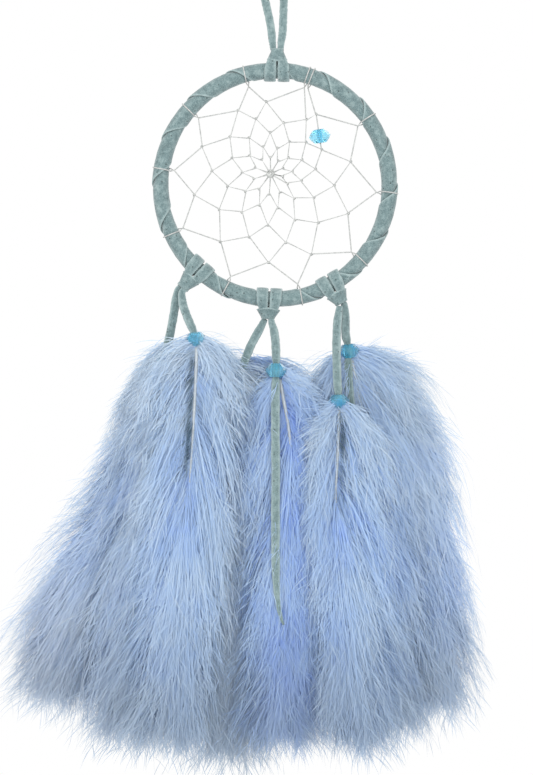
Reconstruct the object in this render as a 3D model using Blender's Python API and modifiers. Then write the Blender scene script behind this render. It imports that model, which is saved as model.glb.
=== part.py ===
"""Dream catcher: a suede-wrapped ring with a thread web, hung on a lace loop, with six feathered tails.

World frame: origin at the top of the hanging loop, +X to the right, +Z up, the front faces -Y.
Lengths are in metres. Routes and places are written in millimetres from the centre of the hoop, as
(right, back, up), and local() turns them into the world frame.
"""

import math

import bmesh
import bpy
from mathutils import Matrix, Vector

MM = 0.001

# Driving dimensions
HOOP_DIAMETER = 101.6 * MM  # outside, over the suede
TUBE_RADIUS = 3.35 * MM  # of the wrapped tube
RING_RADIUS = 2.0 * MM  # of the bare metal ring's wire
LOOP_RISE = 86.0 * MM  # from the hoop's centre to the top of the hanging loop
GAP = 0.3 * MM  # between pieces that touch

HOOP_RADIUS = HOOP_DIAMETER / 2 - TUBE_RADIUS  # to the middle of the tube

# Suede wrap
WRAP_TURNS = 16
WRAP_STEPS = 12  # sections in one turn
WRAP_POINTS = 4  # across the strip
WRAP_INNER = RING_RADIUS + 0.4 * MM

# Suede lace
LACE_WIDTH = 3.6 * MM
LACE_THICKNESS = 1.3 * MM
LACE_IN_BEAD = 0.68  # how far the bead's hole squeezes the lace
LOOP_PINCH = (0.72, 0.75, 0.82, 0.92)  # and how far the hanger's knot squeezes the loop's strands, from its ends

# Web
THREAD_RADIUS = 0.25 * MM
WEB_CENTRE = (-1.8, 4.6)  # right and up from the hoop's centre, in mm
START_ANCHOR = 72.1  # degrees, where the thread is tied on and where the first round ends
ANCHORS = (35.4, 355.8, 318.7, 282.9, 244.2, 205.2, 171.8, 138.8, 105.0)  # in the order of weaving
ANCHOR_REACH = 42.2  # mm from the centre to the hitch at the hoop
DOUBLE_ANCHOR = 1.1  # degrees between the thread's first and last turn at the start anchor
HITCHES = len(ANCHORS) + 2  # in a round
FIRST_HITCHES = (0.35, 0.50, 0.49, 0.59, 0.44, 0.43, 0.50, 0.56, 0.66, 0.30, 0.78)  # along each span
LATER_HITCHES = 0.51
PULLS = (0.17, 0.19, 0.22, 0.30, 0.38)  # towards the centre, round by round
BEAD_SAG = 1.8  # mm that the web's bead pulls down the hitch that holds it up
BEAD_REST = 2.5  # mm from that hitch to the bead
CENTRE_REACH = 2.3  # mm from the centre to the innermost bends
CROSSING = 0.35  # mm in front of and behind the web's plane where threads cross
CENTRE_KNOT_RADIUS = 1.5 * MM
ANCHOR_STEPS = 10  # in the thread's turn round the tube

# Beads
BEAD_DIAMETER = 9.0 * MM
BEAD_HEIGHT = 6.0 * MM
BEAD_HOLE = 2.2 * MM  # radius
WEB_BEAD_HOLE = 1.0 * MM
BEAD_SIDES = 10

# Knots: angle round the hoop, and how far the knot's tip stands from the middle of the tube
KNOTS = {
    "hanger_knot": (89.0, 8.2 * MM),
    "knot_left": (228.0, 9.2 * MM),
    "knot_centre": (267.0, 7.4 * MM),
    "knot_right": (299.5, 8.1 * MM),
}
BAND_WIDTH = 4.4 * MM
BAND_SPACING = 5.7 * MM  # between the middles of a knot's two bands
BAND_THICKNESS = 1.2 * MM
KNOT_BASE = (5.3 * MM, 2.2 * MM)  # half width along the hoop, half depth
KNOT_TIP = (2.6 * MM, 1.9 * MM)

# The hanging loop, up one strand and down the other
LOOP_ROUTE = (
    (-0.7, 0.0, 56.05),
    (-1.1, 0.0, 60.0),
    (-1.8, 0.0, 66.1),
    (-3.0, 0.0, 72.0),
    (-4.1, 0.0, 76.7),
    (-4.5, 0.0, 80.0),
    (-3.4, 0.0, 83.6),
    (-0.2, 0.0, 85.35),
    (3.0, 0.0, 83.6),
    (4.0, 0.0, 80.0),
    (3.7, 0.0, 76.7),
    (3.5, 0.0, 70.0),
    (3.2, 0.0, 63.5),
    (2.6, 0.0, 59.5),
    (2.3, 0.0, 56.05),
)

# The six tails, from the knot down; the bead sits at the point whose place in the list is given
TAILS = {
    "left_front": (
        6,
        (
            (-37.7, -1.0, -43.2),
            (-38.6, -1.1, -45.2),
            (-38.1, -1.6, -49.6),
            (-36.4, -2.3, -54.6),
            (-34.3, -2.8, -59.4),
            (-33.3, -3.0, -61.6),
            (-32.8, -3.0, -64.0),
            (-32.7, -3.0, -67.5),
            (-33.3, -3.0, -75.0),
        ),
    ),
    "left_back": (
        6,
        (
            (-39.0, 1.0, -42.0),
            (-40.3, 1.1, -43.8),
            (-41.2, 1.6, -48.0),
            (-42.0, 2.1, -53.5),
            (-43.3, 2.6, -60.5),
            (-44.8, 3.0, -67.5),
            (-45.8, 3.0, -72.0),
            (-46.5, 3.0, -76.0),
            (-47.2, 3.0, -81.0),
        ),
    ),
    "centre_front": (
        5,
        (
            (-1.6, -1.2, -55.7),
            (-1.3, -1.5, -57.4),
            (-0.3, -1.8, -61.0),
            (0.3, -2.3, -66.4),
            (0.5, -2.9, -72.4),
            (0.4, -3.0, -77.0),
            (0.3, -3.6, -82.0),
            (0.2, -6.8, -92.0),
            (0.2, -11.0, -104.0),
            (0.3, -13.6, -120.0),
            (0.2, -14.6, -140.0),
            (0.3, -14.6, -158.0),
            (0.7, -14.4, -168.0),
            (1.8, -14.2, -176.0),
            (3.4, -14.0, -181.5),
        ),
    ),
    "centre_back": (
        6,
        (
            (-4.2, 1.2, -55.6),
            (-5.0, 1.5, -57.3),
            (-7.2, 1.8, -61.4),
            (-9.9, 2.2, -66.4),
            (-12.8, 2.8, -73.6),
            (-14.8, 3.0, -78.6),
            (-16.6, 3.0, -83.5),
            (-17.8, 3.0, -87.0),
            (-19.2, 3.0, -92.0),
        ),
    ),
    "right_front": (
        6,
        (
            (26.8, -1.0, -50.2),
            (26.5, -1.1, -52.2),
            (25.9, -1.6, -56.8),
            (25.5, -2.3, -64.4),
            (25.6, -2.8, -73.4),
            (25.9, -3.0, -82.4),
            (26.4, -3.0, -89.8),
            (26.5, -3.0, -93.2),
            (26.6, -3.0, -99.0),
        ),
    ),
    "right_back": (
        4,
        (
            (28.4, 1.0, -48.6),
            (28.9, 1.1, -50.6),
            (29.3, 1.6, -55.6),
            (29.4, 2.3, -62.0),
            (30.7, 3.0, -68.8),
            (30.4, 3.3, -74.0),
            (30.7, 3.9, -82.0),
            (31.3, 4.0, -90.0),
            (31.8, 4.0, -96.0),
        ),
    ),
}

# Feathers: the quill's line from its bead to the tip, then the plume's reach to the left and the right
# of that line and its half depth, all in mm
QUILL_RADIUS = 0.5  # mm
FEATHERS = {
    "feather_left_front": (
        ((-32.4, -4.6, -67.6), (-32.6, -6.2, -76.0), (-33.4, -10.0, -95.0), (-35.2, -13.0, -124.0),
         (-38.5, -13.0, -165.0), (-42.0, -13.0, -200.0), (-45.0, -12.5, -229.0)),
        30.0, 19.0, 7.5,
    ),
    "feather_left_back_1": (
        ((-47.6, 4.9, -75.9), (-50.5, 8.5, -86.0), (-57.5, 15.0, -108.0), (-70.0, 17.5, -140.0),
         (-85.0, 17.5, -168.0), (-97.0, 17.0, -187.0)),
        33.0, 20.0, 4.0,
    ),
    "feather_left_back_2": (
        ((-45.6, 4.9, -75.9), (-46.6, 6.3, -88.0), (-50.0, 8.7, -110.0), (-57.0, 9.2, -150.0),
         (-63.0, 9.2, -190.0), (-67.0, 9.0, -221.0)),
        30.0, 19.0, 4.0,
    ),
    "feather_centre_front": (
        ((2.2, -1.7, -80.8), (3.4, -2.5, -88.0), (5.8, -4.5, -102.0), (6.6, -7.0, -116.0),
         (5.6, -8.4, -150.0), (4.0, -8.4, -195.0), (2.0, -8.4, -236.0)),
        17.0, 9.0, 4.3,
    ),
    "feather_centre_back_1": (
        ((-18.3, 4.9, -87.4), (-18.6, 6.3, -98.0), (-19.2, 8.7, -120.0), (-20.5, 9.2, -165.0),
         (-22.0, 9.2, -205.0), (-24.0, 9.0, -243.0)),
        19.0, 20.0, 4.0,
    ),
    "feather_centre_back_2": (
        ((-15.9, 5.1, -87.9), (-13.2, 8.5, -97.0), (-7.5, 14.5, -115.0), (0.0, 17.5, -150.0),
         (4.0, 17.5, -195.0), (6.0, 17.0, -245.0)),
        20.0, 20.0, 4.0,
    ),
    "feather_right_front": (
        ((26.5, -4.6, -93.5), (26.2, -6.4, -102.0), (25.6, -10.0, -116.0), (25.0, -13.0, -134.0),
         (27.0, -13.0, -170.0), (30.5, -13.0, -205.0), (34.0, -12.5, -239.0)),
        8.5, 32.0, 7.5,
    ),
    "feather_right_back_1": (
        ((32.0, 4.9, -72.6), (33.8, 6.0, -81.0), (37.6, 8.7, -101.7), (41.0, 9.2, -130.0),
         (45.0, 9.2, -180.0), (50.0, 9.0, -236.0)),
        16.0, 22.0, 4.0,
    ),
    "feather_right_back_2": (
        ((30.4, 5.2, -72.6), (32.6, 8.6, -80.0), (40.0, 14.5, -97.0), (52.0, 17.5, -125.0),
         (64.0, 17.5, -165.0), (73.0, 17.0, -213.0)),
        22.0, 23.0, 4.0,
    ),
}
FEATHER_SECTIONS = 10
BARE_QUILL = 0.07  # share of the quill's line that is bare

# Colours: base colour, roughness
COLOURS = {
    "suede": ((0.24, 0.35, 0.36), 0.95),
    "steel": ((0.55, 0.56, 0.57), 0.35),
    "thread": ((0.62, 0.61, 0.57), 0.6),
    "bead": ((0.06, 0.45, 0.75), 0.1),
    "feather": ((0.38, 0.54, 0.85), 0.9),
}
METALLIC = {"steel"}


def local(right, back, up):
    """A place given in millimetres from the hoop's centre, in the world frame."""
    return Vector((right * MM, back * MM, up * MM - LOOP_RISE))


def on_hoop(degrees):
    """The middle of the tube at this angle, and the outward and the tangent direction there."""
    angle = math.radians(degrees)
    outward = Vector((math.cos(angle), 0.0, math.sin(angle)))
    tangent = Vector((-math.sin(angle), 0.0, math.cos(angle)))
    return local(0, 0, 0) + HOOP_RADIUS * outward, outward, tangent


def clear_scene():
    for obj in list(bpy.data.objects):
        bpy.data.objects.remove(obj, do_unlink=True)


def make_collection(name):
    collection = bpy.data.collections.new(name)
    bpy.context.scene.collection.children.link(collection)
    return collection


def make_materials():
    made = {}
    for name, (colour, roughness) in COLOURS.items():
        material = bpy.data.materials.new(name)
        material.use_nodes = True
        shader = material.node_tree.nodes["Principled BSDF"]
        shader.inputs["Base Color"].default_value = (*colour, 1.0)
        shader.inputs["Roughness"].default_value = roughness
        shader.inputs["Metallic"].default_value = 1.0 if name in METALLIC else 0.0
        made[name] = material
    return made


def smooth_route(points, steps):
    """Points along a Catmull-Rom curve through the route's own points, with these many steps in each span."""
    padded = [2 * points[0] - points[1], *points, 2 * points[-1] - points[-2]]
    out = []
    for a, b, c, d in zip(padded, padded[1:], padded[2:], padded[3:]):
        for i in range(steps):
            t = i / steps
            out.append(
                0.5 * (2 * b + (c - a) * t + (2 * a - 5 * b + 4 * c - d) * t**2 + (3 * b - a - 3 * c + d) * t**3)
            )
    out.append(points[-1])
    return out


def set_origin(piece, origin):
    """Moves a piece's origin and leaves its shape where it is."""
    piece.data.transform(Matrix.Translation(piece.location - origin))
    piece.location = origin


def hang_on(pieces, holder):
    """Parents the pieces to what carries them, where they are."""
    bpy.context.view_layer.update()
    for piece in pieces:
        piece.parent = holder
        piece.matrix_parent_inverse = holder.matrix_world.inverted()


class Workshop:
    """Makes each named piece of the dream catcher in one collection."""

    def __init__(self):
        self.parts = make_collection("dream_catcher")
        self.tools = make_collection("cutters")
        self.materials = make_materials()

    def add(self, name, data, material, smooth=True):
        piece = bpy.data.objects.new(name, data)
        self.parts.objects.link(piece)
        data.materials.append(self.materials[material])
        if smooth and isinstance(data, bpy.types.Mesh):
            data.shade_smooth()
            data.set_sharp_from_angle(angle=math.radians(40))
        return piece

    def helper(self, name, data):
        """A cutter, or with no data an empty."""
        tool = bpy.data.objects.new(name, data)
        self.tools.objects.link(tool)
        tool.hide_render = True
        tool.display_type = "WIRE"
        return tool

    def curve(self, name, points, material, radius, sides, extrude=0.0, scales=None):
        """A tube, or with extrude a flat lace, along a polyline."""
        data = bpy.data.curves.new(name, "CURVE")
        data.dimensions = "3D"
        data.fill_mode = "FULL"
        data.twist_mode = "MINIMUM"
        data.bevel_depth = radius
        data.bevel_resolution = (sides - 4) // 2
        data.extrude = extrude
        data.use_fill_caps = True
        spline = data.splines.new("POLY")
        spline.points.add(len(points) - 1)
        for i, (target, point) in enumerate(zip(spline.points, points)):
            target.co = (*point, 1.0)
            target.radius = scales[i] if scales else 1.0
        return self.add(name, data, material)

    def loft(self, name, rings, material):
        """A closed skin through rings of points, with both ends capped."""
        mesh = bpy.data.meshes.new(name)
        bm = bmesh.new()
        rows = [[bm.verts.new(point) for point in ring] for ring in rings]
        count = len(rows[0])
        for here, there in zip(rows, rows[1:]):
            for i in range(count):
                j = (i + 1) % count
                bm.faces.new((here[i], here[j], there[j], there[i]))
        bm.faces.new(rows[0])
        bm.faces.new(rows[-1])
        bmesh.ops.recalc_face_normals(bm, faces=bm.faces)
        bm.to_mesh(mesh)
        bm.free()
        return self.add(name, mesh, material)


def lace_scales(points, bead, taper=()):
    """How wide the lace is at each point of its route: squeezed in its bead and, on the loop, at its ends."""
    if bead is None:
        middle = [1.0] * (len(points) - 2 * len(LOOP_PINCH))
        return [*LOOP_PINCH, *middle, *reversed(LOOP_PINCH)]
    reach = BEAD_HEIGHT / 2 + 0.4 * MM
    scales = [LACE_IN_BEAD if (point - bead).length < reach else 1.0 for point in points]
    for back, scale in enumerate(taper, 1):
        scales[-back] = scale
    return scales


def make_lace(shop, name, route, bead=None, taper=()):
    """A flat lace along its route, with its origin where it leaves its knot."""
    points = smooth_route([local(*place) for place in route], 3)
    lace = shop.curve(
        name,
        points,
        "suede",
        LACE_THICKNESS / 2,
        6,
        extrude=(LACE_WIDTH - LACE_THICKNESS) / 2,
        scales=lace_scales(points, bead, taper),
    )
    set_origin(lace, points[0])
    return lace


def make_ring(shop):
    bpy.ops.mesh.primitive_torus_add(
        major_segments=48,
        minor_segments=8,
        major_radius=HOOP_RADIUS,
        minor_radius=RING_RADIUS,
        rotation=(math.pi / 2, 0, 0),
        location=local(0, 0, 0),
    )
    ring = bpy.context.object
    mesh = ring.data
    matrix = ring.matrix_world.copy()
    bpy.data.objects.remove(ring)
    made = shop.add("hoop_ring", mesh, "steel")
    made.matrix_world = matrix
    return made


def make_wrap(shop):
    """The suede strip: a helix round the ring, each turn butting against the last."""
    pitch = 2 * math.pi / WRAP_TURNS  # round the hoop, in one turn
    strip = pitch - GAP / HOOP_RADIUS
    last = WRAP_TURNS * WRAP_STEPS
    rings = []
    for step in range(last + 1):
        turn = min(step / WRAP_STEPS, WRAP_TURNS - 2 * GAP / (2 * math.pi * TUBE_RADIUS))
        around = 2 * math.pi * turn
        ring = []
        for radius, order in ((WRAP_INNER, 1), (TUBE_RADIUS, -1)):
            for i in range(WRAP_POINTS)[::order]:
                angle = math.pi / 2 + pitch * turn + strip * i / (WRAP_POINTS - 1)
                middle, outward, _ = on_hoop(math.degrees(angle))
                ring.append(middle + radius * (math.cos(around) * outward + math.sin(around) * Vector((0, 1, 0))))
        rings.append(ring)
    return shop.loft("hoop_wrap", rings, "suede")


def hitch_places():
    """Where the thread is hitched, in the order of weaving, as (right, up) in mm: first to the hoop, then to itself."""
    first = START_ANCHOR - DOUBLE_ANCHOR
    last = START_ANCHOR + DOUBLE_ANCHOR
    places = [
        Vector((math.cos(math.radians(a)), math.sin(math.radians(a)))) * ANCHOR_REACH
        for a in (first, *ANCHORS, last)
    ]
    centre = Vector(WEB_CENTRE)
    for pull in PULLS:
        for turn in range(HITCHES):
            along = FIRST_HITCHES[turn] if pull == PULLS[0] else LATER_HITCHES
            start, end = places[-HITCHES], places[-HITCHES + 1]
            places.append(start.lerp(end, along).lerp(centre, pull))
            if len(places) == 2 * HITCHES + 1:
                places[-1].y -= BEAD_SAG
    return places


def anchor_turn(degrees):
    """The thread's turn round the wrapped tube, between its two crossings at the hitch."""
    half_step = math.degrees(0.6 * MM / HOOP_RADIUS)
    reach = TUBE_RADIUS + 0.4 * MM + THREAD_RADIUS
    points = []
    for i in range(ANCHOR_STEPS + 1):
        share = i / ANCHOR_STEPS
        middle, outward, _ = on_hoop(degrees + half_step * (1 - 2 * share))
        around = 2 * math.pi * share
        points.append(middle - reach * (math.cos(around) * outward + math.sin(around) * Vector((0, 1, 0))))
    return points


def make_web(shop, places):
    """The thread: round the tube at each anchor, and to and fro past the web's plane where it is hitched."""
    centre = Vector(WEB_CENTRE)
    angles = (START_ANCHOR - DOUBLE_ANCHOR, *ANCHORS, START_ANCHOR + DOUBLE_ANCHOR)
    route = []
    for k, place in enumerate(places[:-1]):
        if k < HITCHES:
            route.append(local(place.x, -CROSSING, place.y))
            route.extend(anchor_turn(angles[k]))
        route.append(local(place.x, CROSSING, place.y))
        if k + HITCHES < len(places):
            hooked = places[k + HITCHES]
        else:
            middle = place.lerp(places[k + 1], 0.5)
            hooked = centre + (middle - centre).normalized() * CENTRE_REACH
        ahead = (places[k + 1] - place).normalized() * (0.25 if k + HITCHES < len(places) else 0.32)
        for side in (-ahead, ahead):
            route.append(local(hooked.x + side.x, -CROSSING, hooked.y + side.y))
    end = centre + (places[-1] - centre).normalized() * CENTRE_REACH
    route.append(local(places[-1].x, CROSSING, places[-1].y))
    route.append(local(end.x, CROSSING, end.y))
    return shop.curve("web_thread", route, "thread", THREAD_RADIUS, 4)


def make_centre_knot(shop):
    """The knot that ties the web's middle."""
    mesh = bpy.data.meshes.new("web_centre_knot")
    bm = bmesh.new()
    bmesh.ops.create_uvsphere(bm, u_segments=10, v_segments=6, radius=CENTRE_KNOT_RADIUS)
    squash = Matrix.Diagonal((1.0, 0.6, 0.8, 1.0))
    bm.transform(Matrix.Translation(local(WEB_CENTRE[0], 0, WEB_CENTRE[1])) @ squash)
    bm.to_mesh(mesh)
    bm.free()
    return shop.add("web_centre_knot", mesh, "thread")


def make_bead(shop, name, centre, axis, hole):
    """A faceted bead: a turned profile with few sides."""
    half = BEAD_HEIGHT / 2
    outer = BEAD_DIAMETER / 2
    profile = (
        (hole, half),
        (outer * 0.62, half),
        (outer, half * 0.28),
        (outer, -half * 0.28),
        (outer * 0.62, -half),
        (hole, -half),
    )
    mesh = bpy.data.meshes.new(name)
    bm = bmesh.new()
    verts = [bm.verts.new((x, 0, z)) for x, z in profile]
    for a, b in zip(verts, verts[1:] + verts[:1]):
        bm.edges.new((a, b))
    bm.to_mesh(mesh)
    bm.free()
    piece = shop.add(name, mesh, "bead", smooth=False)
    piece.location = centre
    piece.rotation_mode = "QUATERNION"
    piece.rotation_quaternion = Vector((0, 0, 1)).rotation_difference(axis)
    screw = piece.modifiers.new("turn", "SCREW")
    screw.axis = "Z"
    screw.steps = screw.render_steps = BEAD_SIDES
    screw.use_merge_vertices = True
    screw.merge_threshold = 1e-6
    screw.use_normal_calculate = True
    screw.use_smooth_shade = False
    return piece


def knot_band(shop, name, degrees):
    """A flat ring of lace round the tube, as a helper that is joined to its knot."""
    middle, outward, tangent = on_hoop(degrees)
    inner = TUBE_RADIUS + 0.45 * MM
    half = BAND_WIDTH / 2
    mesh = bpy.data.meshes.new(name)
    bm = bmesh.new()
    rows = []
    segments = 20
    for i in range(segments):
        turn = 2 * math.pi * i / segments
        arm = math.cos(turn) * outward + math.sin(turn) * Vector((0, 1, 0))
        rows.append(
            [
                bm.verts.new(middle + radius * arm + shift * tangent)
                for radius, shift in (
                    (inner, -half),
                    (inner + BAND_THICKNESS, -half),
                    (inner + BAND_THICKNESS, half),
                    (inner, half),
                )
            ]
        )
    for here, there in zip(rows, rows[1:] + rows[:1]):
        for i in range(4):
            j = (i + 1) % 4
            bm.faces.new((here[i], here[j], there[j], there[i]))
    bmesh.ops.recalc_face_normals(bm, faces=bm.faces)
    bm.to_mesh(mesh)
    bm.free()
    return shop.helper(name, mesh)


def make_knot(shop, name, degrees, tip):
    """A lark's head: two bands round the tube, and the bight drawn to a tip where the lace leaves."""
    middle, outward, tangent = on_hoop(degrees)
    base = TUBE_RADIUS + 0.6 * MM
    rings = []
    for reach, (half_width, half_depth) in ((base, KNOT_BASE), (base + 1.6 * MM, KNOT_BASE), (tip, KNOT_TIP)):
        rings.append(
            [
                middle + reach * outward + a * half_width * tangent + b * half_depth * Vector((0, 1, 0))
                for a, b in ((-1, -0.6), (-0.8, -1), (0.8, -1), (1, -0.6), (1, 0.6), (0.8, 1), (-0.8, 1), (-1, 0.6))
            ]
        )
    knot = shop.loft(name, rings, "suede")
    spread = math.degrees(BAND_SPACING / 2 / HOOP_RADIUS)
    for side, turn in (("a", -spread), ("b", spread)):
        union = knot.modifiers.new("band_" + side, "BOOLEAN")
        union.operation = "UNION"
        union.solver = "EXACT"
        union.object = knot_band(shop, f"{name}_band_{side}", degrees + turn)
    return knot


def plume_share(share):
    """How wide the plume is at this share of its quill's line, from 0 where it is bare to 1."""
    if share <= BARE_QUILL:
        return 0.0
    along = (share - BARE_QUILL) / (1 - BARE_QUILL)
    return math.sqrt(along) * (1 - 0.6 * along**5)


def make_feather(shop, name, line, left, right, depth):
    """A feather: a bare quill end that opens into a flat leaf-shaped plume."""
    route = smooth_route([local(*place) for place in line], 4)
    lengths = [0.0]
    for a, b in zip(route, route[1:]):
        lengths.append(lengths[-1] + (b - a).length)
    shares = [0.0, 0.04, BARE_QUILL] + [
        BARE_QUILL + (1 - BARE_QUILL) * ((i + 1) / (FEATHER_SECTIONS - 2)) ** 1.4 for i in range(FEATHER_SECTIONS - 2)
    ]
    rings = []
    for share in shares:
        target = share * lengths[-1]
        i = next((n for n in range(1, len(lengths)) if lengths[n] >= target - 1e-9), len(lengths) - 1)
        part = (target - lengths[i - 1]) / (lengths[i] - lengths[i - 1])
        place = route[i - 1].lerp(route[i], part)
        ahead = (route[i] - route[i - 1]).normalized()
        across = Vector((0, 1, 0)).cross(ahead)
        across = Vector((-across.x, 0, -across.z)).normalized()  # to the object's right
        if across.x < 0:
            across = -across
        wide = plume_share(share)
        ring = []
        for reach, deep in (
            (-1, 0), (-0.6, -0.8), (0, -1), (0.6, -0.8), (1, 0), (0.6, 0.8), (0, 1), (-0.6, 0.8),
        ):
            side = left if reach < 0 else right
            out = reach * max(wide * side, QUILL_RADIUS) * MM
            thick = deep * max(min(1.0, wide * 1.3) * depth, QUILL_RADIUS) * MM
            ring.append(place + out * across + thick * Vector((0, 1, 0)))
        rings.append(ring)
    feather = shop.loft(name, rings, "feather")
    set_origin(feather, route[0])
    return feather


def make_tail(shop, name, bead_at, route):
    """A tail with its bead and the feathers that hang under it."""
    centre = local(*route[bead_at])
    above = local(*route[bead_at - 1])
    below = local(*route[bead_at + 1])
    taper = (0.35, 0.5, 0.65, 0.8, 0.9) if name == "centre_front" else ()
    lace = make_lace(shop, "lace_" + name, route, centre, taper)
    bead = make_bead(shop, "bead_" + name, centre, (above - below).normalized(), BEAD_HOLE)
    plumes = [make_feather(shop, title, *shape) for title, shape in FEATHERS.items() if name in title]
    hang_on([bead, *plumes], lace)
    return lace


def make_web_bead(shop, places):
    """The bead rests on the hitch under it and is threaded on the web's first span of the second round."""
    upper, lower = places[HITCHES], places[2 * HITCHES]
    axis = (upper - lower).normalized()
    centre = lower + axis * (BEAD_HEIGHT / MM / 2 + BEAD_REST)
    return make_bead(shop, "web_bead", local(centre.x, 0, centre.y), Vector((axis.x, 0, axis.y)), WEB_BEAD_HOLE)


def main():
    clear_scene()
    shop = Workshop()
    loop = make_lace(shop, "hanging_loop", LOOP_ROUTE)
    hanger, *knots = [make_knot(shop, name, *shape) for name, shape in KNOTS.items()]
    set_origin(hanger, on_hoop(KNOTS["hanger_knot"][0])[0])
    places = hitch_places()
    tails = [make_tail(shop, name, *shape) for name, shape in TAILS.items()]
    woven = [make_web(shop, places), make_centre_knot(shop), make_web_bead(shop, places)]
    hoop = shop.helper("hoop", None)
    hoop.location = on_hoop(90.0)[0]
    hang_on([make_ring(shop), make_wrap(shop), *woven, *knots, *tails], hoop)
    hang_on([hoop], hanger)
    hang_on([hanger], loop)


main()
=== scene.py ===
"""Dream catcher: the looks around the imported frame.

Everything is in metres in the row's frame: the origin is the top of the hanging loop, +Z is up and the
front faces -Y. Routes and places are written in millimetres from the hoop's centre, as
(right, back, up), the way the part's source has them, and local() turns them into the row's frame.
"""

import math
from typing import NamedTuple

import bmesh
import bpy
import numpy as np
from mathutils import Matrix, Vector


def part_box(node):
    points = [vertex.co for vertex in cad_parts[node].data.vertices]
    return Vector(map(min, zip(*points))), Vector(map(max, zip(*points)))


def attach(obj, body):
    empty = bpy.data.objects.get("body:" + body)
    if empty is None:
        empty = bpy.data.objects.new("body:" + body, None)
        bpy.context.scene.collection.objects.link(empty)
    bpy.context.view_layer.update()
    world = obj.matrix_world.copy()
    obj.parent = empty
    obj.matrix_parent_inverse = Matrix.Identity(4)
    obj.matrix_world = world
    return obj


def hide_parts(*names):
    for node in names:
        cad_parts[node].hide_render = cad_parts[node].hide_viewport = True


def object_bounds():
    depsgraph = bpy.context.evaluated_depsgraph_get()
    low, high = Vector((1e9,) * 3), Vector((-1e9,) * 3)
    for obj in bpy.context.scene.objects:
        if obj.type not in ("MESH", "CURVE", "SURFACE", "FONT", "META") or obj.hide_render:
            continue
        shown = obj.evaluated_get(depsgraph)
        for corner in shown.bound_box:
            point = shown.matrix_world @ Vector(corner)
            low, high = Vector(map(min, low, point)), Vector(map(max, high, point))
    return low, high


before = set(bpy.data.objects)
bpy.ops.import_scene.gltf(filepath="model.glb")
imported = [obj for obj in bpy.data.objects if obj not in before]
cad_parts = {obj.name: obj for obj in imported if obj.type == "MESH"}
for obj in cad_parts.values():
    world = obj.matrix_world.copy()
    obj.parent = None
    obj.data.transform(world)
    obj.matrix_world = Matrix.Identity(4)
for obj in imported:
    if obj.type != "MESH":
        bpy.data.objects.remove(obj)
CAD_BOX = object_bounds()

MM = 0.001
BACK = Vector((0.0, 1.0, 0.0))

# The hoop, from the frame
RIM_LOW, RIM_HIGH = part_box("hoop_wrap")
CENTRE = (RIM_LOW + RIM_HIGH) / 2
TUBE_RADIUS = (RIM_HIGH.y - RIM_LOW.y) / 2
HOOP_RADIUS = (RIM_HIGH.x - RIM_LOW.x) / 2 - TUBE_RADIUS

# Suede. A lace keeps these shares of its width where its knot and its bead draw it in
WRAP_TURNS = 16
LACE_WIDTH = 3.6 * MM
LACE_THICKNESS = 1.3 * MM
WIDTH_AT_KNOT = 0.68
WIDTH_IN_BEAD = 0.7
ROUTE_STEPS = 8

# Beads
BEAD_RADIUS = 4.5 * MM
BEAD_HALF_HEIGHT = 2.8 * MM
BEAD_FACETS = 8
LACE_HOLE = 2.15 * MM
THREAD_HOLE = 1.0 * MM

# Web, in mm from the hoop's centre and degrees round it. The thread is first hitched to the hoop at the
# anchors, and starts and ends that round beside the same one. Each later round is hitched to the spans of the
# one before: how far along them, and how far it is drawn to the middle.
THREAD_RADIUS = 0.27 * MM
WEB_CENTRE = Vector((-1.8, 4.6))
START_ANCHOR = 72.1
DOUBLE_ANCHOR = 1.1
ANCHORS = (
    START_ANCHOR - DOUBLE_ANCHOR, 35.4, 355.8, 318.7, 282.9, 244.2, 205.2, 171.8, 138.8, 105.0,
    START_ANCHOR + DOUBLE_ANCHOR,
)
ANCHOR_REACH = 42.2
HITCHES = len(ANCHORS)
FIRST_HITCHES = (0.35, 0.50, 0.49, 0.59, 0.44, 0.43, 0.50, 0.56, 0.66, 0.30, 0.78)
LATER_HITCHES = 0.51
PULLS = (0.17, 0.19, 0.22, 0.30, 0.38)
# How far the hitch below the bead hangs, how far from the web's plane two threads cross, half a hitch's
# length, and the radius of the knot in the middle
BEAD_SAG = 1.8
CROSSING = 0.3
HALF_HITCH = 0.42
MIDDLE_RADIUS = 1.6

# Down.
FULL_DOWN = (460, 18, 12000)
BARB_STEPS = 8
BARBULE_STEPS = 4
BARB_WIDTH = 0.34 * MM
BARBULE_WIDTH = 0.24 * MM
LONGEST_BARB = 68 * MM
# In mm: how far beside the hoop's centre the down begins to pale, and over what distance, the same for its
# greying below the centre, both painted light standing for the white surround seen through thin down, and how
# far the painted shadow in the furrow beside a bare quill reaches
PALE_FROM, PALE_OVER = 45, 55
GREY_FROM, GREY_OVER = 172, 68
FURROW_SHADOW_REACH = 3.1
# The values that each point of the down keeps for its material: its tone, partly painted shade, painted light
# at its sides and foot, and a painted shadow in the furrow beside a bare quill
SHADES = ("tone_and_painted_shading", "side", "low", "furrow_shadow")

# Area lights: name, place, width and power in watts
LIGHTS = (
    ("key", (-0.5, -0.9, 1.3), 0.8, 10.0),
    ("front", (0.1, -1.9, 0.0), 1.5, 21.0),
    ("rim", (0.4, 1.2, 0.6), 0.9, 3.0),
)

# Suede's colours: in its hollows, between, on its nap, and on a cut edge
SUEDE_DARK = (0.065, 0.107, 0.114)
SUEDE_MID = (0.107, 0.168, 0.175)
SUEDE_LIGHT = (0.235, 0.31, 0.31)
SUEDE_EDGE = (0.33, 0.42, 0.42)

# Knots: the angle round the hoop and, in mm, how far the tip stands from the middle of the tube and the half
# width of the bight at its lower edge, which is LIP_OUT from the middle of the tube
KNOTS = {
    "hanger_knot": (89.0, 8.2, 4.0),
    "knot_left": (228.0, 9.2, 4.1),
    "knot_centre": (267.0, 7.4, 4.7),
    "knot_right": (299.5, 8.1, 4.4),
}
LIP_OUT = 4.1

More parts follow.
